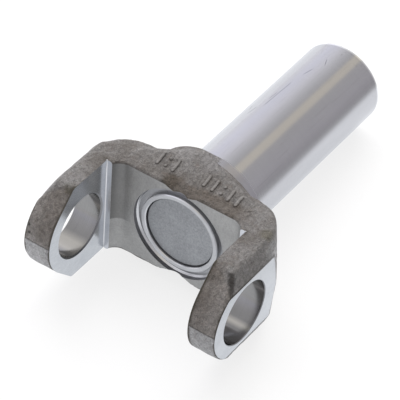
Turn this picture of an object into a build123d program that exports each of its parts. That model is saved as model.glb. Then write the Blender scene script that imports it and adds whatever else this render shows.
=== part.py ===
from build123d import *
import os
from math import acos, cos, pi, radians, sin, tan

os.makedirs("parts", exist_ok=True)

# Slip yoke of a driveshaft, lying on its side.
# X runs along the barrel, Y along the two bearing-cup bores, and Z is up.
# The origin is the centre of the joint, where the barrel's axis meets the axis of the cup bores.
# All sizes are in millimetres and degrees.

# Bearing-cup bores through the two ears
cup_bore_diameter = 28.6
cup_outer_chamfer = 0.3
cup_inner_chamfer = 0.6

# Ears: machined faces first, then the forging around them
ear_outer_width = 92.9
ear_inner_width = 67.5
inner_face_end = 16.65
forged_gap_width = 63.4
gap_corner_radius = 6.0
gap_rim_radius = 1.2
tip_radius = 21.0
tip_half_angle = 45.0
ear_half_height = 24.3
bevel_start_height = 16.2
bevel_inset = 3.5

# Saddle and shoulders between the ears and the hub
saddle_face = 20.2
flank_start = 22.3
flank_angle = 33.0
flank_radius = 15.0
shoulder_rear = 39.0
shoulder_corner_radius = 14.0
shoulder_fall_start = 27.0
shoulder_rear_half_height = 22.0
shoulder_fall_radius = 20.0
forging_draft = 4.0
forging_stock = 1.6
forging_radius = 2.4

# Crown that swells out of the level tops between the saddle and the hub
crown_start = 21.0
crown_end = 40.0
crown_steps = 3
crown_foot_half_width = 39.5
crown_foot_half_height = 24.0
crown_foot_corner_radius = 8.0

# Scoops in the middle of the saddle's rim, which clear the yoke on the other side of the joint
scoop_floor = 21.4
scoop_radius = 18.5
scoop_angle = 30.0

# Hub behind the crown, rounded all round and level at its top and bottom
hub_half_width = 27.8
hub_half_height = 27.6
hub_corner_radius = 24.0
hub_turned_radius = 28.1
hub_turned_length = 4.0
hub_rear = 43.15

# Barrel
barrel_diameter = 38.1
barrel_end = 142.6
barrel_chamfer = 0.8
barrel_root_chamfer = 1.2

# Plug seat in the saddle: a lip ring inside a round recess
recess_radius = 22.0
recess_floor = 22.8
lip_front = 20.7
lip_outer_radius = 18.8
lip_edge_chamfer = 0.4
plug_radius = 16.5
plug_recess = 1.2
plug_thickness = 2.4
plug_clearance = 0.05
plug_edge_chamfer = 0.5

# Splined bore through the barrel, with a plain relief behind the plug
spline_teeth = 27
spline_pitch_per_inch = 24
spline_pressure_angle = 30.0
relief_radius = 15.6
relief_end = 52.0
mouth_radius = 15.8
mouth_depth = 6.0
mouth_chamfer = 1.0
spline_tip_factor = 1.0
spline_root_factor = 1.35
inch = 25.4

# Overrun of a cut past the surface that it opens, and the tolerance when edges are picked
clear = 0.1

outer_y = ear_outer_width / 2
inner_y = ear_inner_width / 2
forged_y = outer_y + forging_stock
barrel_radius = barrel_diameter / 2
reach = 2 * tip_radius


def blend(start, end, share):
    """Value at this share of the way from start to end."""
    return start + (end - start) * share


def mirrored_polyline(points):
    """Polyline through the points and back through their mirror image across the sketch's X axis."""
    Polyline(*points, *[(x, -y) for x, y in reversed(points)])


def crown_section(part_way):
    """Section of the crown at this part of the way from its foot, 0, to the hub, 1."""
    settled = part_way**2 * (3 - 2 * part_way)
    half_width = blend(crown_foot_half_width, hub_half_width, part_way**2)
    half_height = blend(crown_foot_half_height, hub_half_height, settled)
    RectangleRounded(
        2 * half_width,
        2 * half_height,
        blend(crown_foot_corner_radius, hub_corner_radius, settled),
    )


# Plan of the forging at the parting line: straight over the ears, then in along the flanks
flank_slope = tan(radians(flank_angle))
flank_corner = (flank_start - forging_stock / flank_slope, -forged_y)
rear_corner = (shoulder_rear, (shoulder_rear - flank_start) * flank_slope - outer_y)

# Side view of the forging: the tip's arc runs into ramps at its ends, up to the level tops
tip_angle = radians(tip_half_angle)
tip_end = (-tip_radius * cos(tip_angle), tip_radius * sin(tip_angle))
ramp_length = (ear_half_height - tip_end[1]) / cos(tip_angle)
ramp_end = (tip_end[0] + ramp_length * sin(tip_angle), ear_half_height)

# Spline: the tooth spaces of an internal involute spline, each symmetrical about the sketch's X axis
pitch_radius = inch * spline_teeth / spline_pitch_per_inch / 2
base_radius = pitch_radius * cos(radians(spline_pressure_angle))
space_width = pi * inch / spline_pitch_per_inch / 2
spline_tip_radius = inch * (spline_teeth - spline_tip_factor) / spline_pitch_per_inch / 2
spline_root_radius = inch * (spline_teeth + spline_root_factor) / spline_pitch_per_inch / 2
plug_seat = lip_front + plug_recess + plug_thickness


def involute(angle):
    """Involute function of an angle in radians."""
    return tan(angle) - angle


def flank_point(radius, side):
    """Point of a tooth space's flank at this radius, on the side +1 or -1 of its centre line."""
    half_space = space_width / 2 / pitch_radius + involute(radians(spline_pressure_angle))
    half_space -= involute(acos(base_radius / radius))
    return (radius * cos(half_space), side * radius * sin(half_space))


flank_radii = [spline_tip_radius - clear, pitch_radius, spline_root_radius]
with BuildSketch() as tooth_space:
    with BuildLine():
        lower = ThreePointArc(*[flank_point(radius, -1) for radius in flank_radii])
        upper = ThreePointArc(*[flank_point(radius, 1) for radius in reversed(flank_radii)])
        ThreePointArc(lower @ 1, (spline_root_radius, 0), upper @ 0)
        Line(upper @ 1, lower @ 0)
    make_face()

with BuildPart() as yoke_forging:
    with BuildSketch(Plane.XY):
        with BuildLine():
            Line((-reach, forged_y), (-reach, -forged_y))
            mirrored_polyline([(-reach, -forged_y), flank_corner, rear_corner])
        make_face()
        fillet(vertices().group_by(Axis.X)[1], radius=flank_radius)
        fillet(vertices().group_by(Axis.X)[-1], radius=shoulder_corner_radius)
    extrude(amount=ear_half_height, taper=forging_draft)

    with BuildSketch(Plane.XZ):
        with BuildLine():
            ThreePointArc((tip_end[0], -tip_end[1]), (-tip_radius, 0), tip_end)
            fall_start = (shoulder_fall_start, ear_half_height)
            fall_end = (shoulder_rear, shoulder_rear_half_height)
            mirrored_polyline([tip_end, ramp_end, fall_start, fall_end])
        make_face()
        fillet(vertices().filter_by_position(Axis.X, 0, shoulder_fall_start), radius=shoulder_fall_radius)
    extrude(amount=forged_y, both=True, mode=Mode.INTERSECT)

    # Front view: the tops of the ears slope steeply down to the outer faces
    bevel_slope = (ear_half_height - bevel_start_height) / bevel_inset
    bevel_end = (forged_y, bevel_start_height - forging_stock * bevel_slope)
    with BuildSketch(Plane.YZ):
        with BuildLine():
            bevel_top = (outer_y - bevel_inset, ear_half_height)
            Polyline((forged_y, 0), bevel_end, bevel_top, (0, ear_half_height))
            mirror(about=Plane.YZ)
            mirror(about=Plane.XZ)
        make_face()
    extrude(amount=shoulder_rear + reach, both=True, mode=Mode.INTERSECT)

    # The die's edge radii, on every top edge that is not already a smooth run-out
    top_edges = edges().filter_by(lambda edge: edge.bounding_box().min.Z > clear)
    crosswise = top_edges.filter_by(Axis.Y).sort_by(Axis.X)
    fillet(top_edges - crosswise + [crosswise[1], crosswise[-1]], radius=forging_radius)
    mirror(about=Plane.XY)

    # Crown: sections that ease from just inside the block to the round hub, and on to its rear
    for step in range(crown_steps + 1):
        part_way = step / crown_steps
        with BuildSketch(Plane.YZ.offset(blend(crown_start, crown_end, part_way))):
            crown_section(part_way)
    with BuildSketch(Plane.YZ.offset(hub_rear)):
        crown_section(1)
    loft()

    # Gap between the ears as it was forged, with a round corner at each side of the saddle
    with BuildSketch(Plane.XY):
        with Locations(((saddle_face - reach) / 2, 0)):
            Rectangle(saddle_face + reach, forged_gap_width)
        fillet(vertices().group_by(Axis.X)[-1], radius=gap_corner_radius)
    extrude(amount=reach, both=True, mode=Mode.SUBTRACT)
    fillet(edges(Select.LAST).filter_by(Axis.Z, reverse=True), radius=gap_rim_radius)

    # Scoops: each a round trough that runs up and back from the saddle's face
    for side in (1, -1):
        scoop_rise = side * sin(radians(scoop_angle))
        scoop_line = Plane(
            origin=(saddle_face, 0, side * scoop_floor),
            x_dir=(0, 1, 0),
            z_dir=(cos(radians(scoop_angle)), 0, scoop_rise),
        )
        with BuildSketch(scoop_line):
            with Locations((0, side * scoop_radius)):
                Circle(scoop_radius)
        extrude(amount=scoop_radius, both=True, mode=Mode.SUBTRACT)

    # Milled faces of the ears: inside as far as the step beside the saddle, outside right across
    with BuildSketch(Plane.XY):
        with Locations(((inner_face_end - reach) / 2, 0)):
            Rectangle(inner_face_end + reach, ear_inner_width)
        with GridLocations(0, ear_outer_width + reach, 1, 2):
            Rectangle(2 * (shoulder_rear + reach), reach)
    extrude(amount=reach, both=True, mode=Mode.SUBTRACT)

    # Bearing-cup bores
    with BuildSketch(Plane.XZ):
        Circle(cup_bore_diameter / 2)
    extrude(amount=forged_y, both=True, mode=Mode.SUBTRACT)
    mouths = edges().filter_by(GeomType.CIRCLE)
    mouths = mouths.filter_by(lambda edge: abs(edge.radius - cup_bore_diameter / 2) < clear)
    chamfer(mouths.filter_by(lambda edge: abs(edge.center().Y) > inner_y + clear), length=cup_outer_chamfer)
    chamfer(mouths.filter_by(lambda edge: abs(edge.center().Y) < inner_y + clear), length=cup_inner_chamfer)

    # Turned rear of the hub, and the ground barrel
    with BuildSketch(Plane.XY):
        with Locations((hub_rear - hub_turned_length, hub_turned_radius)):
            Rectangle(2 * hub_turned_length, reach, align=Align.MIN)
    revolve(axis=Axis.X, mode=Mode.SUBTRACT)
    with BuildSketch(Plane.YZ.offset(hub_rear)):
        Circle(barrel_radius)
    extrude(amount=barrel_end - hub_rear)
    barrel_rims = edges().filter_by(GeomType.CIRCLE)
    barrel_rims = barrel_rims.filter_by(lambda edge: abs(edge.radius - barrel_radius) < clear).sort_by(Axis.X)
    chamfer(barrel_rims[0], length=barrel_root_chamfer)
    chamfer(barrel_rims[-1], length=barrel_chamfer)

    # Plug seat: a face in the saddle, a deeper ring that leaves the lip standing, and the plug's bore
    with BuildSketch(Plane.YZ.offset(saddle_face)):
        Circle(recess_radius)
    extrude(amount=lip_front - saddle_face, mode=Mode.SUBTRACT)
    with BuildSketch(Plane.YZ.offset(lip_front)):
        Circle(recess_radius)
        Circle(lip_outer_radius, mode=Mode.SUBTRACT)
    extrude(amount=recess_floor - lip_front, mode=Mode.SUBTRACT)
    with BuildSketch(Plane.YZ.offset(lip_front)):
        Circle(plug_radius)
    extrude(amount=plug_recess + plug_thickness, mode=Mode.SUBTRACT)
    lip_edges = edges().filter_by(GeomType.CIRCLE).filter_by_position(Axis.X, lip_front - clear, lip_front + clear)
    chamfer(lip_edges.filter_by(lambda edge: edge.radius < lip_outer_radius + clear), length=lip_edge_chamfer)

    # Bore through the barrel: a relief behind the plug, then the splined length, then the open mouth
    with BuildSketch(Plane.YZ.offset(plug_seat)):
        Circle(relief_radius)
    extrude(amount=relief_end - plug_seat, mode=Mode.SUBTRACT)
    with BuildSketch(Plane.YZ.offset(relief_end)):
        Circle(spline_tip_radius)
    extrude(amount=barrel_end - relief_end, mode=Mode.SUBTRACT)
    with BuildSketch(Plane.YZ.offset(relief_end)):
        with PolarLocations(0, spline_teeth):
            add(tooth_space.sketch)
    extrude(amount=barrel_end - relief_end, mode=Mode.SUBTRACT)
    with BuildSketch(Plane.YZ.offset(barrel_end)):
        Circle(mouth_radius)
    extrude(amount=-mouth_depth, mode=Mode.SUBTRACT)
    end_rims = edges().filter_by(GeomType.CIRCLE).group_by(Axis.X)[-1]
    chamfer(end_rims.sort_by(SortBy.RADIUS)[0], length=mouth_chamfer)

yoke_forging.part.label = "yoke_forging"
export_step(yoke_forging.part, "parts/yoke_forging.step")

# Expansion plug: a flat disc pressed into the lip against the step behind it
with BuildPart() as expansion_plug:
    with BuildSketch(Plane.YZ.offset(plug_seat)):
        Circle(plug_radius - plug_clearance)
    extrude(amount=-plug_thickness)
    chamfer(edges().sort_by(Axis.X)[0], length=plug_edge_chamfer)

expansion_plug.part.label = "expansion_plug"
export_step(expansion_plug.part, "parts/expansion_plug.step")
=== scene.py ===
import bmesh
import bpy
import math
import numpy as np
from mathutils import Matrix, Vector, noise


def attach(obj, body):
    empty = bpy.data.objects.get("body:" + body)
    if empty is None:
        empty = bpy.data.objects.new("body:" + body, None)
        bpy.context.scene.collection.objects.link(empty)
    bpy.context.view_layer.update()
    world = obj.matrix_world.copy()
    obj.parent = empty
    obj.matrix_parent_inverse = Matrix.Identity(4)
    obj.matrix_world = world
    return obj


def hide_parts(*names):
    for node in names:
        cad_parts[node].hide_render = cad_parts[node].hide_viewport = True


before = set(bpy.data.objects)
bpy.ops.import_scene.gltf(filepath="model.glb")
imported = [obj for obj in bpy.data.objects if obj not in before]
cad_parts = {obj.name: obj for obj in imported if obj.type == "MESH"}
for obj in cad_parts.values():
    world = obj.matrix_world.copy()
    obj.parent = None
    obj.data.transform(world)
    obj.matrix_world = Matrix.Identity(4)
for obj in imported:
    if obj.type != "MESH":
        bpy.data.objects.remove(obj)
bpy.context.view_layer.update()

MM = 0.001

# Sizes of the part in millimetres, as the CAD has them: the ears and the saddle between them
OUTER_Y = 46.45
INNER_Y = 33.75
CUP_R = 14.3
STEP_X = 16.65
STEP_INNER_Y = 31.0
SADDLE_X = 20.2

# The recess in the saddle with its lip ring and the plug's seat, and the bore behind them
LIP_X = 20.7
RECESS_FLOOR_X = 22.8
RECESS_R = 22.0
SEAT_END_X = 24.5
BORE_START_X = 24.0
BORE_R = 16.6

# The hub with its turned band, which takes in the hub's sides beyond a Y, and the barrel with the fillet
# at its root
HUB_REAR_X = 43.15
HUB_HALF_HEIGHT = 27.6
HUB_FLAT_Y = 27.0
TURNED_R = 28.1
TURNED_LENGTH = 4.0
BARREL_R = 19.05
BARREL_END_X = 142.6
ROOT_FILLET = 1.3

# Where the dies met, as the photograph shows it on both tips
PARTING_Z = 2.07

# The forging sat a little off the lathe's axis, so one corner of the hub kept its skin beyond this Y and Z
UNTURNED_YZ = 4.0

# Small chamfers: at the foot of the recess's wall, on the hub's rear rim, and in the corners between the
# inner faces and their steps, so far above and below the middle
FOOT_CHAMFER = 0.75
RIM_CHAMFER = 0.40
CORNER_CHAMFER = 0.35
CORNER_REACH = 25.0


# Materials

class Graph:
    """Builds the nodes of a procedural material, or of the world."""

    def __init__(self, owner):
        owner.use_nodes = True
        self.owner = owner
        self.tree = owner.node_tree

    def find(self, kind):
        """The node of this type that the tree has from the start."""
        return next(node for node in self.tree.nodes if node.type == kind)

    def add(self, kind, **values):
        """New node, with its properties set."""
        node = self.tree.nodes.new(kind)
        for key, value in values.items():
            setattr(node, key, value)
        return node

    def link(self, source, target):
        """Joins a node's output to an input."""
        self.tree.links.new(source, target)

    def fill(self, socket, value):
        """Links a socket, or sets a number or a colour."""
        if isinstance(value, bpy.types.NodeSocket):
            self.link(value, socket)
        elif isinstance(value, tuple):
            socket.default_value = (*value, 1.0)
        else:
            socket.default_value = value

    def coords(self, scale=(1.0, 1.0, 1.0)):
        """Object coordinates in millimetres, stretched by the scale."""
        where = self.add("ShaderNodeTexCoord")
        mapping = self.add("ShaderNodeMapping")
        mapping.inputs["Scale"].default_value = [s / MM for s in scale]
        self.link(where.outputs["Object"], mapping.inputs["Vector"])
        return mapping.outputs["Vector"]

    def place(self):
        """The X, Y and Z of a point, in millimetres."""
        split = self.add("ShaderNodeSeparateXYZ")
        self.link(self.coords(), split.inputs[0])
        return split.outputs

    def noise(self, scale, detail=3.0, roughness=0.55, distortion=0.0):
        """Noise from 0 to 1. Its scale is in waves per millimetre, as one number or one for each axis."""
        node = self.add("ShaderNodeTexNoise")
        node.inputs["Scale"].default_value = 1.0
        node.inputs["Detail"].default_value = detail
        node.inputs["Roughness"].default_value = roughness
        node.inputs["Distortion"].default_value = distortion
        waves = (scale,) * 3 if isinstance(scale, float) else scale
        self.link(self.coords(waves), node.inputs["Vector"])
        return node.outputs["Fac"]

    def ramp(self, source, stops):
        """Colour ramp with (position, linear colour or grey) stops."""
        node = self.add("ShaderNodeValToRGB")
        elements = node.color_ramp.elements
        while len(elements) < len(stops):
            elements.new(0.5)
        for element, (position, colour) in zip(elements, stops):
            element.position = position
            colour = (colour,) * 3 if isinstance(colour, (int, float)) else colour
            element.color = (*colour, 1.0)
        self.link(source, node.inputs["Fac"])
        return node.outputs["Color"]

    def mix(self, factor, first, second, blend="MIX"):
        """Mix of two colours. The factor is a socket or a number, and each colour a socket or a tuple."""
        node = self.add("ShaderNodeMix", data_type="RGBA", blend_type=blend)
        self.fill(node.inputs[0], factor)
        self.fill(node.inputs[6], first)
        self.fill(node.inputs[7], second)
        return node.outputs[2]

    def calc(self, operation, first, second=0.0):
        """One operation, such as ADD or MAXIMUM, on two sockets or numbers."""
        node = self.add("ShaderNodeMath", operation=operation)
        self.fill(node.inputs[0], first)
        self.fill(node.inputs[1], second)
        return node.outputs[0]

    def product(self, first, *others):
        """Product of masks and numbers."""
        for other in others:
            first = self.calc("MULTIPLY", first, other)
        return first

    def span(self, source, low, high, start=0.0, end=1.0):
        """The source, from start to end, mapped to the range from low to high and held there."""
        node = self.add("ShaderNodeMapRange")
        node.inputs["From Min"].default_value = start
        node.inputs["From Max"].default_value = end
        node.inputs["To Min"].default_value = low
        node.inputs["To Max"].default_value = high
        self.link(source, node.inputs["Value"])
        return node.outputs["Result"]

    def within(self, value, low, high, soft):
        """Mask of the values between low and high, with soft ends."""
        rise = self.span(value, 0.0, 1.0, low - soft, low + soft)
        fall = self.span(value, 1.0, 0.0, high - soft, high + soft)
        return self.product(rise, fall)

    def spot(self, centre, radius, ragged=0.35):
        """Soft, ragged mask around a centre in millimetres."""
        gap = self.add("ShaderNodeVectorMath", operation="DISTANCE")
        self.link(self.coords(), gap.inputs[0])
        gap.inputs[1].default_value = centre
        edge = self.span(self.noise(0.5, 4), -ragged * radius, ragged * radius)
        return self.span(self.calc("ADD", gap.outputs["Value"], edge), 1.0, 0.0, 0.45 * radius, radius)

    def bumps(self, *layers, edge=None):
        """Sets the shader's normal by a chain of bumps from (height socket, distance in mm, strength).

        Where edge is given, the edges below the bumps look rounded by that radius in mm.
        """
        normal = None
        if edge is not None:
            bevel = self.add("ShaderNodeBevel", samples=4)
            bevel.inputs["Radius"].default_value = edge * MM
            normal = bevel.outputs["Normal"]
        for height, distance, strength in layers:
            node = self.add("ShaderNodeBump")
            node.inputs["Distance"].default_value = distance * MM
            node.inputs["Strength"].default_value = strength
            self.link(height, node.inputs["Height"])
            if normal is not None:
                self.link(normal, node.inputs["Normal"])
            normal = node.outputs["Normal"]
        self.link(normal, self.find("BSDF_PRINCIPLED").inputs["Normal"])

    def finish(self, colour, roughness, metallic):
        """Sets the shader's looks, and returns the finished material."""
        shader = self.find("BSDF_PRINCIPLED")
        self.fill(shader.inputs["Base Color"], colour)
        self.fill(shader.inputs["Roughness"], roughness)
        shader.inputs["Metallic"].default_value = metallic
        return self.owner


def material_graph(name):
    """Graph of a new material."""
    return Graph(bpy.data.materials.new(name))


# Colours of the forged skin, from its own scale to what lies on it or was rubbed off, and the painted shade
# and highlight on its rim and die marks
SCALE_COLOURS = [(0.34, (0.152, 0.139, 0.127)), (0.50, (0.188, 0.176, 0.166)), (0.66, (0.224, 0.215, 0.207))]
SLOPE_COLOUR = (0.290, 0.285, 0.280)
FLANK_COLOUR = (0.540, 0.540, 0.545)
RIM_BROWN_AND_SHADE_COLOUR = (0.120, 0.098, 0.078)
TIP_TINT = (1.00, 0.96, 0.92)
SHORN_COLOUR = (0.44, 0.44, 0.445)
PARTING_COLOUR = (0.050, 0.044, 0.038)
RUST_COLOUR = (0.150, 0.118, 0.098)
PIT_COLOUR = (0.050, 0.045, 0.040)
RUB_COLOUR = (0.40, 0.39, 0.38)
GRIME_COLOUR = (0.060, 0.051, 0.038)
# The die marks' feet carry painted shade, and their rubbed tops a painted highlight
MARK_FOOT_SHADE_COLOUR = (0.060, 0.052, 0.044)
MARK_TOP_RUB_AND_HIGHLIGHT_COLOUR = (0.340, 0.325, 0.310)

# Stains, painted shadows, a painted highlight and lighter patches of the forged skin: centre and radius in
# millimetres, colour, strength
STAINS_AND_PAINTED_LIGHT = [
    # Painted shadow in the dent at the top's scoop
    ((22.5, 6.5, 23.8), 4.5, (0.050, 0.042, 0.032), 0.85),
    ((20.5, -41.5, 24.2), 4.0, (0.110, 0.098, 0.058), 0.50),
    ((-5.5, 35.5, 24.0), 3.8, (0.070, 0.062, 0.040), 0.85),
    ((14.0, 36.0, 24.3), 6.0, (0.125, 0.110, 0.095), 0.50),
    ((22.0, 6.4, -21.0), 4.5, (0.100, 0.078, 0.050), 0.60),
    # Painted shadow of the step along the -Y tip's slope
    ((-5.7, -42.2, 22.7), 1.7, (0.034, 0.029, 0.025), 0.75),
    ((-6.7, -43.1, 21.6), 2.1, (0.030, 0.026, 0.022), 0.80),
    ((-7.9, -44.2, 20.2), 2.1, (0.032, 0.027, 0.023), 0.80),
    ((-9.2, -45.2, 18.6), 1.9, (0.038, 0.032, 0.027), 0.75),
    ((-10.5, -46.2, 16.8), 1.7, (0.052, 0.042, 0.034), 0.65),
    ((-19.1, 45.5, 8.5), 0.9, (0.030, 0.028, 0.026), 0.90),
    ((-20.3, 44.5, 5.5), 0.9, (0.030, 0.028, 0.026), 0.90),
    # Painted highlight on the +Y tip below the parting line
    ((-19.0, 42.0, -4.0), 10.0, (0.500, 0.500, 0.505), 0.65),
    ((-1.0, 37.0, 24.3), 6.5, (0.260, 0.252, 0.248), 0.60),
    ((5.0, -38.5, 24.3), 8.0, (0.250, 0.240, 0.234), 0.60),
    ((39.0, -2.0, 27.6), 7.0, (0.265, 0.257, 0.255), 0.65),
    ((37.5, 9.5, 26.5), 6.5, (0.275, 0.267, 0.263), 0.60),
]

# Width in Y where the ears' outer slopes and their steep flanks grow lighter, and the flanks' start in X
SLOPE_WIDTH = (38.5, 43.0)
FLANK_WIDTH = (42.5, 45.5)
FLANK_X = (14.0, 20.0)

# The band along the saddle's upper rim: brown skin, with painted shade where the rim turns down to the
# saddle
BAND_X = (19.0, 26.5)
BAND_Y = (-28.0, 10.0)
BAND_Z = (17.0, 21.0)

# The tips' darker scale reaches back to this X, and so much less far towards the ears' outer sides
TIP_X = -5.0
TIP_BEND = 5.5
TIP_BEND_Y = (37.0, 46.0)

# The borders of the skin's dark places wander by up to this many millimetres
WANDER = 4.0

# Grime is thickest on the ears up to the first range in X, and ends in the second
THICK_GRIME_X = (-2.0, 6.0)
GRIME_END_X = (32.0, 36.0)


def skin_places(g, colour, wander):
    """Lightens the ears' outer slopes and flanks, and lays on the stains, the painted shadows and highlight,
    and the brown band with its painted shade.
    """
    x, y, z = g.place()
    width = g.calc("ABSOLUTE", y)
    colour = g.mix(g.span(width, 0.0, 0.50, *SLOPE_WIDTH), colour, SLOPE_COLOUR)
    flank = g.product(g.span(width, 0.0, 0.80, *FLANK_WIDTH), g.span(x, 0.0, 1.0, *FLANK_X))
    colour = g.mix(flank, colour, FLANK_COLOUR)
    for centre, radius, tint, strength in STAINS_AND_PAINTED_LIGHT:
        colour = g.mix(g.product(g.spot(centre, radius), strength), colour, tint)
    # The brown band, darker still as painted shade where the rim turns down
    band = g.product(
        g.within(g.calc("ADD", x, wander), *BAND_X, 1.2),
        g.within(y, *BAND_Y, 3.0),
        g.span(z, 0.0, 0.62, *BAND_Z),
    )
    return g.mix(band, colour, RIM_BROWN_AND_SHADE_COLOUR)


def skin_tips(g, colour, wander):
    """Darkens the tips above the parting line. Below it the shorn edge is bare and light."""
    x, y, z = g.place()
    outward = g.span(g.calc("ABSOLUTE", y), 0.0, TIP_BEND, *TIP_BEND_Y)
    along = g.calc("ADD", g.calc("ADD", x, outward), g.span(wander, -0.6, 0.6, -WANDER, WANDER))
    tip = g.span(along, 1.0, 0.0, TIP_X - 1.5, TIP_X + 0.3)
    height = g.calc("ADD", z, g.span(wander, -0.3, 0.3, -WANDER, WANDER))
    above = g.span(height, 0.0, 1.0, PARTING_Z - 0.15, PARTING_Z + 0.25)
    below = g.span(above, 0.65, 0.0)
    line = g.within(height, PARTING_Z - 0.35, PARTING_Z + 0.30, 0.2)
    colour = g.mix(g.product(tip, above), colour, g.mix(1.0, colour, TIP_TINT, "MULTIPLY"))
    colour = g.mix(g.product(tip, below), colour, SHORN_COLOUR)
    return g.mix(g.product(line, tip, 0.7), colour, PARTING_COLOUR)


def skin_grain(g, colour, coarse, fine):
    """Grain at two sizes, reddish scale, pits and small bright rubs."""
    colour = g.mix(0.42, colour, g.ramp(coarse, [(0.36, 0.26), (0.64, 0.74)]), "OVERLAY")
    colour = g.mix(0.52, colour, g.ramp(fine, [(0.36, 0.22), (0.64, 0.78)]), "OVERLAY")
    rust = g.ramp(g.noise(0.30, 5, 0.7), [(0.55, 0.0), (0.70, 0.50)])
    colour = g.mix(rust, colour, RUST_COLOUR)
    pits = g.ramp(g.noise(0.85, 2), [(0.700, 0.0), (0.740, 0.80)])
    colour = g.mix(pits, colour, PIT_COLOUR)
    rubs = g.ramp(g.noise(0.70, 5, 0.8), [(0.660, 0.0), (0.720, 0.45)])
    return g.mix(rubs, colour, RUB_COLOUR)


def skin_edges(g, colour):
    """Grime beside the machined faces, painted shade at the die marks' feet, and their rubbed tops lightened
    further as a painted highlight.
    """
    x = g.place()["X"]
    rim = g.add("ShaderNodeAttribute", attribute_name="rim").outputs["Fac"]
    grime = g.product(
        g.span(rim, 0.0, 1.0, 0.05, 0.40),
        g.span(x, 0.92, 0.35, *THICK_GRIME_X),
        g.span(x, 1.0, 0.0, *GRIME_END_X),
    )
    colour = g.mix(grime, colour, GRIME_COLOUR)
    mark = g.add("ShaderNodeAttribute", attribute_name="mark").outputs["Fac"]
    foot = g.within(mark, 0.12, 0.55, 0.12)
    # Painted shade at the marks' feet, then a painted highlight on their rubbed tops
    colour = g.mix(g.product(foot, 0.6), colour, MARK_FOOT_SHADE_COLOUR)
    return g.mix(g.span(mark, 0.0, 0.55, 0.6, 1.0), colour, MARK_TOP_RUB_AND_HIGHLIGHT_COLOUR)


def forged_skin():
    """Blasted forging scale: warm grey with a coarse grain, brown stains, painted shadows and highlights,
    dark rims and darker tips.
    """
    g = material_graph("forged_skin")
    wander = g.span(g.noise(0.22, 4), -WANDER, WANDER)
    coarse = g.noise(0.62, 4, 0.62, 0.3)
    fine = g.noise(1.9, 4, 0.7)
    colour = g.ramp(g.noise(0.11, 4, 0.6, 0.6), SCALE_COLOURS)
    colour = skin_places(g, colour, wander)
    colour = skin_tips(g, colour, wander)
    colour = skin_grain(g, colour, coarse, fine)
    colour = skin_edges(g, colour)
    g.bumps((coarse, 1.50, 1.0), (fine, 0.36, 1.0))
    return g.finish(colour, g.span(fine, 0.46, 0.70), 0.30)


# Painted highlight strips low in the two cup bores: the ear's side, and the strip's first X, last X and
# softness
HIGHLIGHT_STRIPS = [(1.0, (-3.5, 5.0, 1.8)), (-1.0, (3.9, 6.2, 0.9))]
HIGHLIGHT_STRIP_Z = (-9.0, -6.0)
HIGHLIGHT_STRIP_COLOUR = (0.72, 0.69, 0.62)


def painted_bore_highlights(g, colour):
    """Brightens a strip low in each cup bore as a painted highlight."""
    x, y, z = g.place()
    low = g.span(z, 0.6, 0.0, *HIGHLIGHT_STRIP_Z)
    for side, extent in HIGHLIGHT_STRIPS:
        ear = g.span(g.product(y, side), 0.0, 1.0, -1.0, 1.0)
        colour = g.mix(g.product(low, ear, g.within(x, *extent)), colour, HIGHLIGHT_STRIP_COLOUR)
    return colour


def lathe_marks(name, base, axis, roughness, patch=None):
    """Turned or bored steel, with fine marks round the X or Y axis."""
    g = material_graph(name)
    marks = g.noise([5.0 if key == axis else 0.05 for key in "XYZ"], 5, 0.75)
    cloud = g.ramp(g.noise(0.09, 4), [(0.35, 0.0), (0.65, 1.0)])
    colour = g.mix(cloud, base, tuple(c * 0.88 for c in base))
    colour = g.mix(0.14, colour, g.ramp(marks, [(0.3, 0.2), (0.7, 0.8)]), "OVERLAY")
    if patch is not None:
        colour = patch(g, colour)
    g.bumps((marks, 0.004, 0.5), edge=0.2)
    return g.finish(colour, g.span(marks, *roughness), 1.0)


# Scratches in the barrel's top, each from one X and Y to another, in millimetres
SCRATCHES = [
    ((91.0, 6.8), (109.0, 5.8)),
    ((96.0, 7.7), (101.0, 7.2)),
    ((84.0, 10.2), (88.5, 9.4)),
    ((87.5, 11.8), (90.5, 12.4)),
    ((117.0, 4.4), (121.5, 3.2)),
    ((127.0, 0.4), (130.5, 1.7)),
]
SCRATCH_HALF_WIDTH = 0.16

# How far the scuffs reach back from the barrel's end, and how far its worn edge reaches in and back
SCUFF_LENGTH = 18.0
WORN_DEPTH = 0.9
WORN_LENGTH = 1.7

# Colours of the ground steel, and of what dulls or wears it
GROUND_COLOUR = (0.60, 0.595, 0.615)
SLID_COLOUR = (0.42, 0.41, 0.42)
SCRATCH_COLOUR = (0.26, 0.26, 0.28)
SCUFF_COLOUR = (0.30, 0.30, 0.32)
WORN_COLOUR = (0.92, 0.92, 0.92)


def scratch(g, x, y, z, start, end):
    """Mask of a fine straight scratch on the upper side."""
    slope = (end[1] - start[1]) / (end[0] - start[0])
    line = g.calc("ADD", g.product(x, slope), start[1] - slope * start[0])
    gap = g.calc("ABSOLUTE", g.calc("SUBTRACT", y, line))
    across = g.span(gap, 1.0, 0.0, 0.5 * SCRATCH_HALF_WIDTH, 1.5 * SCRATCH_HALF_WIDTH)
    along = g.within(x, start[0], end[0], 0.8)
    return g.product(across, along, g.span(z, 0.0, 0.8, 1.0, 2.0))


def worn_end(g, colour):
    """Scuffs towards the barrel's open end, and its worn outer edge."""
    x, y, z = g.place()
    end_zone = g.span(x, 0.0, 1.0, BARREL_END_X - SCUFF_LENGTH, BARREL_END_X - 2.0)
    scuffs = g.ramp(g.noise((1.1, 1.5, 1.5), 5, 0.8, 0.8), [(0.585, 0.0), (0.630, 0.65)])
    colour = g.mix(g.product(scuffs, end_zone), colour, SCUFF_COLOUR)
    radius_squared = g.calc("ADD", g.product(y, y), g.product(z, z))
    inner = BARREL_R - WORN_DEPTH
    start = BARREL_END_X - WORN_LENGTH
    outer = g.span(radius_squared, 0.0, 0.9, inner ** 2, (inner + 0.4) ** 2)
    edge = g.span(x, 0.0, 1.0, start, start + 0.3)
    return g.mix(g.product(outer, edge), colour, WORN_COLOUR)


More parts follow.
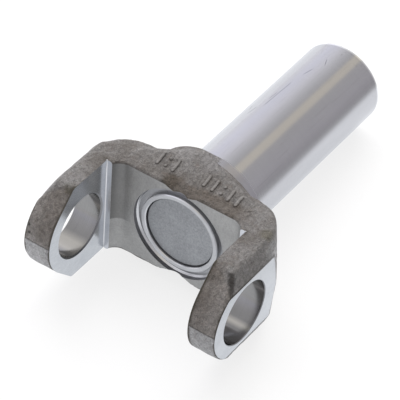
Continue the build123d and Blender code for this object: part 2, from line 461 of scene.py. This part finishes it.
def ground_barrel():
    """Ground steel: a smooth sheen, fine grinding rings, sliding marks, scratches and a worn end."""
    g = material_graph("ground_barrel")
    cloud = g.ramp(g.noise((0.02, 0.06, 0.06), 3), [(0.35, 0.0), (0.65, 1.0)])
    colour = g.mix(cloud, GROUND_COLOUR, tuple(c * 0.95 for c in GROUND_COLOUR))
    rings = g.noise((4.0, 0.04, 0.04), 5, 0.75)
    colour = g.mix(0.07, colour, g.ramp(rings, [(0.3, 0.2), (0.7, 0.8)]), "OVERLAY")
    slid = g.noise((0.035, 1.7, 1.7), 3, 0.6)
    slid_lines = g.ramp(slid, [(0.640, 0.0), (0.680, 0.35), (0.720, 0.0)])
    colour = g.mix(slid_lines, colour, SLID_COLOUR)
    x, y, z = g.place()
    for start, end in SCRATCHES:
        colour = g.mix(scratch(g, x, y, z, start, end), colour, SCRATCH_COLOUR)
    colour = worn_end(g, colour)
    g.bumps((rings, 0.003, 0.4), (slid, 0.004, 0.3), edge=0.3)
    return g.finish(colour, g.span(rings, 0.14, 0.21), 1.0)


# The saddle's corner grows darker along Y in two stretches, and starts above a step in Z: a rougher cut
# there, and painted shade deepening into the concave corner
ROUGH_Y = (22.5, 26.0, 30.5)
ROUGH_Z = (-7.2, -6.6)
ROUGH_AND_SHADE_COLOUR = (0.14, 0.137, 0.132)


def rough_and_shaded_corner(g, colour):
    """Darkens the saddle's corner above a step in the cutter's path: a rougher cut, and painted shade
    deepening into the concave corner.
    """
    _, y, z = g.place()
    corner = g.product(g.span(y, 0.0, 0.42, *ROUGH_Y[:2]), g.span(z, 0.0, 1.0, *ROUGH_Z))
    deep = g.calc("ADD", corner, g.product(corner, g.span(y, 0.0, 0.7, *ROUGH_Y[1:])))
    return g.mix(deep, colour, ROUGH_AND_SHADE_COLOUR)


def milled(name, base, roughness, waves, depth=0.008, speckle=0.16, patch=None, metallic=1.0):
    """Flat faces with a cutter's fine parallel marks, of so many waves per millimetre along each axis."""
    g = material_graph(name)
    marks = g.noise(waves, 4, 0.7)
    grain = g.noise(1.3, 3)
    smear = g.noise(0.12, 3)
    colour = g.mix(0.16, base, g.ramp(marks, [(0.3, 0.25), (0.7, 0.75)]), "OVERLAY")
    colour = g.mix(speckle, colour, g.ramp(grain, [(0.3, 0.2), (0.7, 0.8)]), "OVERLAY")
    colour = g.mix(0.14, colour, g.ramp(smear, [(0.35, 0.3), (0.65, 0.7)]), "OVERLAY")
    if patch is not None:
        colour = patch(g, colour)
    g.bumps((marks, depth, 0.4), edge=0.25)
    return g.finish(colour, g.span(marks, *roughness), metallic)


# Every finish, in the order of the meshes' material slots
MATERIALS = {
    "skin": forged_skin(),
    "ground": ground_barrel(),
    "turned": lathe_marks("turned_steel", (0.56, 0.55, 0.58), "X", (0.26, 0.38)),
    # Bored steel, with painted highlight strips low in the bores
    "bored": lathe_marks("bored_steel", (0.30, 0.295, 0.29), "Y", (0.11, 0.19), patch=painted_bore_highlights),
    "bore_edge": lathe_marks("bore_edge_steel", (0.30, 0.30, 0.31), "Y", (0.30, 0.42)),
    "milled": milled(
        "milled_steel", (0.60, 0.612, 0.632), (0.16, 0.24), (0.35, 0.1, 0.9), depth=0.0015, speckle=0.05
    ),
    "step": milled(
        "milled_step", (0.61, 0.62, 0.65), (0.26, 0.38), (0.1, 0.1, 3.0), depth=0.003, speckle=0.08
    ),
    # Saddle steel, with a rougher cut and painted shade in its corner
    "saddle": milled(
        "saddle_steel", (0.392, 0.386, 0.376), (0.44, 0.60), (0.1, 0.9, 0.25), patch=rough_and_shaded_corner
    ),
    "recess": lathe_marks("recess_steel", (0.42, 0.42, 0.43), "X", (0.28, 0.42)),
    "lip": lathe_marks("lip_steel", (0.56, 0.56, 0.57), "X", (0.28, 0.38)),
    # Brighter steel for the chamfers, a painted edge highlight
    "lip_edge": lathe_marks("chamfer_highlight_steel", (0.78, 0.78, 0.79), "X", (0.26, 0.34)),
    "broached": milled(
        "broached_steel", (0.40, 0.40, 0.41), (0.40, 0.55), (0.05, 2.0, 2.0), speckle=0.05, metallic=0.5
    ),
    "plug": milled("plug_steel", (0.335, 0.34, 0.35), (0.42, 0.56), (0.1, 1.3, 1.3), speckle=0.24),
}
ORDER = list(MATERIALS)
SKIN = ORDER.index("skin")


# Which finish each face takes

def near(a, b, slack=0.05):
    """Whether two sizes are the same, give or take the slack in millimetres."""
    return abs(a - b) < slack


def square(part):
    """Whether a face stands square to the axis along which its normal has this part."""
    return abs(part) > 0.99


def hub_finish(x, y, z, normal):
    """Finish of a face of the barrel, the spline or the hub's turned band, or nothing elsewhere."""
    radius = math.hypot(y, z)
    if x > HUB_REAR_X - 0.1 and radius > BORE_R:
        return "ground" if radius < BARREL_R + ROOT_FILLET else "turned"
    if x > BORE_START_X and radius < BORE_R:
        return "broached"
    on_band = x > HUB_REAR_X - TURNED_LENGTH - 0.1
    if on_band and near(radius, TURNED_R, 0.12) and abs(normal[0]) < 0.02:
        return "skin" if y > UNTURNED_YZ and z > UNTURNED_YZ else "turned"
    if on_band and abs(y) > HUB_FLAT_Y:
        return "turned"
    return None


def ear_finish(x, y, z, normal):
    """Finish of a machined face of an ear, or nothing elsewhere."""
    if math.hypot(x, z) < CUP_R + 0.7 and INNER_Y - 0.1 < abs(y) < OUTER_Y + 0.1:
        if abs(normal[1]) < 0.1:
            return "bored"
        return "bore_edge" if abs(normal[1]) < 0.9 else "milled"
    if square(normal[1]) and near(abs(y), OUTER_Y):
        return "milled"
    if square(normal[1]) and near(abs(y), INNER_Y) and x < STEP_X:
        return "milled"
    if square(normal[0]) and near(x, STEP_X) and abs(y) > STEP_INNER_Y:
        return "step"
    return None


def saddle_finish(x, y, z, normal):
    """Finish of a machined face of the saddle or its recess, or nothing elsewhere."""
    if SADDLE_X + 0.02 < x < SEAT_END_X and math.hypot(y, z) < RECESS_R + 0.05:
        if square(normal[0]) and near(x, LIP_X):
            return "lip"
        return "lip_edge" if 0.5 < abs(normal[0]) < 0.9 else "recess"
    if square(normal[0]) and near(x, SADDLE_X):
        return "saddle"
    if STEP_X < x < SADDLE_X and abs(normal[2]) < 0.05:
        return "saddle"
    return None


def yoke_finish(centre, normal):
    """Name of the finish of the yoke's face with this centre in millimetres and this normal."""
    for finish_of in (hub_finish, ear_finish, saddle_finish):
        finish = finish_of(*centre, normal)
        if finish is not None:
            return finish
    return "skin"


def plug_finish(centre, normal):
    """The plug has one finish all over."""
    return "plug"


# Relief of the forging

# Raised die marks on the top, by their ends in millimetres. They are plain strokes and dots, and spell
# nothing.
DIE_MARKS = [
    ((27.2, 16.6), (32.2, 16.6)),
    ((31.6, 12.8), (31.6, 12.8)),
    ((27.8, 12.8), (27.8, 12.8)),
    ((27.2, 9.0), (32.2, 9.0)),
    ((27.6, -6.0), (32.2, -6.0)),
    ((27.3, -10.2), (31.9, -10.2)),
    ((31.0, -14.2), (31.0, -14.2)),
    ((27.6, -14.2), (27.6, -14.2)),
    ((26.5, -18.2), (31.1, -18.2)),
    ((26.0, -22.4), (30.6, -22.4)),
]
MARK_FLOOR_Z = 20.0
MARK_X = (25.0, 33.5)
MARK_Y = (-24.5, 18.5)
MARK_HALF_WIDTH = 0.50
MARK_SHOULDER = 0.40
MARK_RISE = 0.60

# The parting line's ridge
RIDGE_HALF_WIDTH = 0.55
RIDGE_RISE = 0.16

# Longest edges of the skin's mesh, in millimetres, and how near a mark or the ridge they are short.
# Behind the tips, those at the ridge are short only beyond a Y.
COARSE_EDGE = 1.0
MARK_EDGE = 0.32
MARK_NEAR = 1.7
RIDGE_EDGE = 1.8 * MARK_EDGE
RIDGE_NEAR = 1.3
RIDGE_SIDE_Y = 30.0

# The creases at the crown's foot and at the scoops, beyond this X and this height, soften most
CREASE_X = 19.0
CREASE_Z = 20.0
CREASE_SHARE = 0.55
CALM_SHARE = 0.16
SOFT_ROUNDS = 14


def held(share):
    """A share, held between 0 and 1."""
    return min(1.0, max(0.0, share))


def mark_gap(x, y):
    """Distance from a point to the nearest die mark, in millimetres."""
    gaps = []
    for start, end in DIE_MARKS:
        run = Vector(end) - Vector(start)
        out = Vector((x, y)) - Vector(start)
        share = held(out.dot(run) / run.length_squared) if run.length_squared > 0.0 else 0.0
        gaps.append((out - run * share).length)
    return min(gaps)


def wanted_length(point):
    """Longest edge that the skin's mesh may have at a point, in millimetres."""
    x, y, z = point
    on_marks = z > MARK_FLOOR_Z and MARK_X[0] < x < MARK_X[1] and MARK_Y[0] < y < MARK_Y[1]
    if on_marks and mark_gap(x, y) < MARK_NEAR:
        return MARK_EDGE
    if near(z, PARTING_Z, RIDGE_NEAR) and (x < 0.0 or abs(y) > RIDGE_SIDE_Y):
        return RIDGE_EDGE
    return COARSE_EDGE


def cut_into_triangles(mesh_data):
    """Splits the faces with more than three corners."""
    crowded = [face for face in mesh_data.faces if len(face.verts) > 3]
    bmesh.ops.triangulate(mesh_data, faces=crowded)


def refine(mesh_data):
    """Splits the skin's long edges until each is as short as is wanted there."""
    for _ in range(10):
        long_edges = []
        for edge in mesh_data.edges:
            if not any(face.material_index == SKIN for face in edge.link_faces):
                continue
            a, b = (corner.co / MM for corner in edge.verts)
            if (a - b).length > wanted_length((a + b) / 2):
                long_edges.append(edge)
        if not long_edges:
            break
        bmesh.ops.subdivide_edges(mesh_data, edges=long_edges, cuts=1)
        cut_into_triangles(mesh_data)


def soften(points, pairs, share, rounds):
    """Moves each point by its share towards the middle of its neighbours, over and over."""
    count = np.maximum(np.bincount(pairs.ravel(), minlength=len(points)), 1)[:, None]
    for _ in range(rounds):
        total = np.zeros_like(points)
        np.add.at(total, pairs[:, 0], points[pairs[:, 1]])
        np.add.at(total, pairs[:, 1], points[pairs[:, 0]])
        points = points + share * (total / count - points)
    return points


def mark_share(x, y, z):
    """How far the skin rises to a die mark's top at a point, from 0 to 1."""
    if z < MARK_FLOOR_Z:
        return 0.0
    return held((MARK_HALF_WIDTH + MARK_SHOULDER - mark_gap(x, y)) / MARK_SHOULDER)


def skin_relief(x, y, z):
    """Height of the skin's lumps and of the parting line's ridge at a point, in millimetres."""
    point = Vector((x, y, z))
    lumps = 0.20 * noise.noise(point * 0.12) + 0.12 * noise.noise(point * 0.38)
    ridge = abs(z - PARTING_Z - 0.3 * noise.noise(point * 0.2)) / RIDGE_HALF_WIDTH
    return lumps + RIDGE_RISE * max(0.0, 1.0 - ridge)


def soften_skin(mesh_data):
    """Softens the skin's creases, and returns each point's weight: 1 in the skin, fading out at its rims."""
    points = np.array([vertex.co / MM for vertex in mesh_data.verts])
    pairs = np.array([[corner.index for corner in edge.verts] for edge in mesh_data.edges])
    free = np.array([
        all(face.material_index == SKIN for face in vertex.link_faces) for vertex in mesh_data.verts
    ])
    x, y, z = points.T
    creased = (x > CREASE_X) & (abs(z) > CREASE_Z)
    share = np.where(free, np.where(creased, CREASE_SHARE, CALM_SHARE), 0.0)[:, None]
    points = soften(points, pairs, share, SOFT_ROUNDS)
    for vertex, point in zip(mesh_data.verts, points):
        vertex.co = Vector(point) * MM
    weights = soften(free.astype(float)[:, None], pairs, np.where(free, 0.5, 0.0)[:, None], 2)
    return np.minimum(weights[:, 0], 1.0)


def forge_skin(mesh_data):
    """Gives the skin the soft creases and the relief of a forging. The machined faces stay as they are."""
    refine(mesh_data)
    mesh_data.verts.index_update()
    mesh_data.normal_update()
    weights = soften_skin(mesh_data)
    mesh_data.normal_update()
    rim = mesh_data.verts.layers.float.new("rim")
    mark = mesh_data.verts.layers.float.new("mark")
    for vertex, weight in zip(mesh_data.verts, weights):
        place = vertex.co / MM
        vertex[rim] = 1.0 - weight
        if weight > 0.0:
            vertex[mark] = mark_share(*place)
            vertex.co += vertex.normal * (skin_relief(*place) + MARK_RISE * vertex[mark]) * weight * MM


# The forging and the plug

def chamfer_where(mesh_data, size, test):
    """Chamfers the edges whose two ends pass the test, with a face of brighter steel as a painted edge
    highlight.
    """
    chosen = [edge for edge in mesh_data.edges if all(test(*(corner.co / MM)) for corner in edge.verts)]
    bmesh.ops.bevel(
        mesh_data, geom=chosen, offset=size * MM, offset_type="OFFSET", segments=1, profile=0.5,
        affect="EDGES", material=ORDER.index("lip_edge"),
    )
    cut_into_triangles(mesh_data)


def at_recess_foot(x, y, z):
    """Whether a point lies at the foot of the recess's wall."""
    return near(x, RECESS_FLOOR_X, 0.01) and near(math.hypot(y, z), RECESS_R)


def in_step_corner(x, y, z):
    """Whether a point lies in the corner between an inner face and its step."""
    return near(x, STEP_X, 0.01) and near(abs(y), INNER_Y, 0.01) and abs(z) < CORNER_REACH


def on_rear_rim(x, y, z):
    """Whether a point lies on the hub's rear rim."""
    return near(x, HUB_REAR_X, 0.01) and math.hypot(y, z) > HUB_HALF_HEIGHT - 0.1


def shape_yoke(mesh_data):
    """Adds the small chamfers, then shapes the skin."""
    chamfer_where(mesh_data, FOOT_CHAMFER, at_recess_foot)
    chamfer_where(mesh_data, CORNER_CHAMFER, in_step_corner)
    chamfer_where(mesh_data, RIM_CHAMFER, on_rear_rim)
    forge_skin(mesh_data)


# Points this near, in millimetres, are joined. Machined faces that fold by less than this angle look
# smooth.
WELD_GAP = 0.0005
SHARP_FOLD = math.radians(28)


def mark_sharp_edges(mesh_data):
    """Makes edges sharp between two finishes, and where machined faces fold. The skin stays smooth."""
    for edge in mesh_data.edges:
        finishes = {face.material_index for face in edge.link_faces}
        if len(finishes) > 1:
            edge.smooth = False
        elif finishes != {SKIN}:
            edge.smooth = edge.calc_face_angle(0.0) < SHARP_FOLD


def dressed_copy(node, name, finish_of, shape=None):
    """Copy of a CAD node, reshaped by shape, whose faces each take the finish that finish_of names."""
    work = bmesh.new()
    work.from_mesh(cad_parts[node].data)
    bmesh.ops.remove_doubles(work, verts=work.verts, dist=WELD_GAP * MM)
    work.normal_update()
    for face in work.faces:
        face.material_index = ORDER.index(finish_of(face.calc_center_median() / MM, face.normal))
        face.smooth = True
    if shape is not None:
        shape(work)
    work.normal_update()
    mark_sharp_edges(work)
    mesh = bpy.data.meshes.new(name)
    work.to_mesh(mesh)
    work.free()

    # The CAD's own normals no longer fit the reshaped faces
    if "custom_normal" in mesh.attributes:
        mesh.attributes.remove(mesh.attributes["custom_normal"])
    for key in ORDER:
        mesh.materials.append(MATERIALS[key])
    piece = bpy.data.objects.new(name, mesh)
    bpy.context.scene.collection.objects.link(piece)
    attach(piece, "root")
    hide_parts(node)
    return piece


yoke = dressed_copy("yoke_forging", "yoke", yoke_finish, shape_yoke)
plug = dressed_copy("expansion_plug", "plug", plug_finish)


# Camera, as fitted to the photograph: angles in degrees, place, lens and sensor in millimetres

AZIMUTH, ELEVATION, ROLL = (math.radians(angle) for angle in (-57.939, 42.657, 4.234))
CAMERA_PLACE = Vector((-670.977, -442.256, 775.892)) * MM
LENS = 251.9
SENSOR = 36.0


def camera_turn():
    """Matrix that turns a camera to the fitted azimuth, elevation and roll."""
    back = Vector((
        math.sin(AZIMUTH) * math.cos(ELEVATION),
        -math.cos(AZIMUTH) * math.cos(ELEVATION),
        math.sin(ELEVATION),
    ))
    right = (-back).cross(Vector((0, 0, 1))).normalized()
    up = right.cross(-back)
    side = right * math.cos(ROLL) + up * math.sin(ROLL)
    top = up * math.cos(ROLL) - right * math.sin(ROLL)
    return Matrix((side, top, back)).transposed().to_4x4()


camera = bpy.data.objects.new("camera", bpy.data.cameras.new("camera"))
bpy.context.scene.collection.objects.link(camera)
camera.data.sensor_width = SENSOR
camera.data.lens = LENS
camera.data.clip_end = 20.0
camera.matrix_world = Matrix.Translation(CAMERA_PLACE) @ camera_turn()
bpy.context.scene.camera = camera


# Floor: the part rests on its hub and on the barrel's end, so the floor slopes in the part's own frame

END_CHAMFER = 0.8
FLOOR_SLOPE = math.atan2(HUB_HALF_HEIGHT - BARREL_R, BARREL_END_X - END_CHAMFER - HUB_REAR_X)
FLOOR_BELOW_ORIGIN = HUB_HALF_HEIGHT + HUB_REAR_X * math.tan(FLOOR_SLOPE)
FLOOR_GAP = 0.05

# In metres. The floor ends just beside the view on the -Y side, so the barrel reflects the dark wall there,
# and in reflections its white falls off between two places in Y.
FLOOR_SIZE = 2.4
FLOOR_EDGE_Y = -0.13
FALL_Y = (-0.100, -0.060)
FALL_LOW = 0.30

# The share of the floor's plain white, its tint in reflections, and the two greys of its paper
FLOOR_WHITE = 0.78
WHITE = (1.0, 1.0, 1.0)
REFLECTED_TINT = (0.95, 0.985, 1.03)
PAPER_COLOURS = ((0.90, 0.90, 0.91), (0.885, 0.885, 0.895))


def floor_material():
    """Pale paper. Seen or reflected it is mostly plain white, and the rest keeps the part's shadow."""
    g = material_graph("floor_paper")
    cloud = g.noise(0.004, 2)
    paint = g.mix(g.ramp(cloud, [(0.4, 0.0), (0.6, 1.0)]), *PAPER_COLOURS)
    paper = g.finish(paint, g.span(cloud, 0.85, 0.9), 0.0)
    path = g.add("ShaderNodeLightPath")
    to_camera = path.outputs["Is Camera Ray"]
    seen = g.calc("MAXIMUM", to_camera, path.outputs["Is Glossy Ray"])

    # White that in reflections is tinted, and falls off towards the dark wall
    position = g.add("ShaderNodeSeparateXYZ")
    g.link(g.add("ShaderNodeNewGeometry").outputs["Position"], position.inputs[0])
    fall = g.span(position.outputs["Y"], FALL_LOW, 1.0, *FALL_Y)
    white = g.add("ShaderNodeEmission")
    g.link(g.mix(to_camera, REFLECTED_TINT, WHITE), white.inputs["Color"])
    g.link(g.calc("MAXIMUM", fall, to_camera), white.inputs["Strength"])

    blend = g.add("ShaderNodeMixShader")
    g.link(g.product(seen, FLOOR_WHITE), blend.inputs[0])
    g.link(g.find("BSDF_PRINCIPLED").outputs[0], blend.inputs[1])
    g.link(white.outputs[0], blend.inputs[2])
    g.link(blend.outputs[0], g.find("OUTPUT_MATERIAL").inputs["Surface"])
    return paper


bpy.ops.mesh.primitive_plane_add(size=FLOOR_SIZE)
floor = bpy.context.object
floor.name = "floor"
floor.rotation_euler = (0.0, -FLOOR_SLOPE, 0.0)
floor.location = (0.0, FLOOR_SIZE / 2 + FLOOR_EDGE_Y, -(FLOOR_BELOW_ORIGIN + FLOOR_GAP) * MM)
floor.data.materials.append(floor_material())


# Light: a large soft lamp above, and a studio whose walls shade from one side over the top to the other

# The lamp's place, aim and size in metres, and its power in watts
LAMP_PLACE = Vector((0.75, 0.55, 1.25))
LAMP_AIM = Vector((0.05, 0.0, 0.0))
LAMP_SIZE = 1.8
LAMP_POWER = 35.5
LAMP_COLOUR = (1.0, 0.99, 0.98)

# Walls by their angle from the +Y horizon over the top, in degrees, and their colour
WALLS = [
    (-180.0, (0.43, 0.42, 0.44)),
    (-170.0, (0.45, 0.45, 0.47)),
    (-150.0, (0.95, 0.97, 1.00)),
    (-2.0, (1.00, 1.00, 1.03)),
    (28.0, (0.97, 0.98, 1.09)),
    (52.0, (0.90, 0.90, 0.96)),
    (64.0, (0.78, 0.78, 0.81)),
    (76.0, (0.66, 0.66, 0.68)),
    (92.0, (0.53, 0.53, 0.54)),
    (97.0, (0.72, 0.68, 0.60)),
    (113.0, (0.72, 0.68, 0.60)),
    (118.0, (0.51, 0.505, 0.515)),
    (160.0, (0.50, 0.49, 0.515)),
    (180.0, (0.44, 0.43, 0.455)),
]


def overhead_lamp():
    """Large soft lamp that faces the part, and that metal doesn't reflect."""
    light = bpy.data.lights.new("overhead", "AREA")
    light.shape = "SQUARE"
    light.size = LAMP_SIZE
    light.energy = LAMP_POWER
    light.color = LAMP_COLOUR
    lamp = bpy.data.objects.new("overhead", light)
    bpy.context.scene.collection.objects.link(lamp)
    lamp.location = LAMP_PLACE
    lamp.rotation_euler = (LAMP_AIM - LAMP_PLACE).to_track_quat("-Z", "Y").to_euler()
    lamp.visible_glossy = False


def studio():
    """World with the walls all round the X axis. The camera itself sees plain white."""
    world = bpy.data.worlds.new("studio")
    bpy.context.scene.world = world
    g = Graph(world)
    split = g.add("ShaderNodeSeparateXYZ")
    g.link(g.add("ShaderNodeTexCoord").outputs["Generated"], split.inputs[0])
    angle = g.calc("ARCTAN2", split.outputs["Z"], split.outputs["Y"])
    turn_share = g.span(angle, 0.0, 1.0, -math.pi, math.pi)
    walls = g.ramp(turn_share, [((degrees + 180.0) / 360.0, colour) for degrees, colour in WALLS])
    path = g.add("ShaderNodeLightPath")
    background = g.find("BACKGROUND")
    g.link(g.mix(path.outputs["Is Camera Ray"], walls, WHITE), background.inputs["Color"])
    background.inputs["Strength"].default_value = 1.0


overhead_lamp()
studio()
bpy.context.scene.view_settings.view_transform = "Standard"
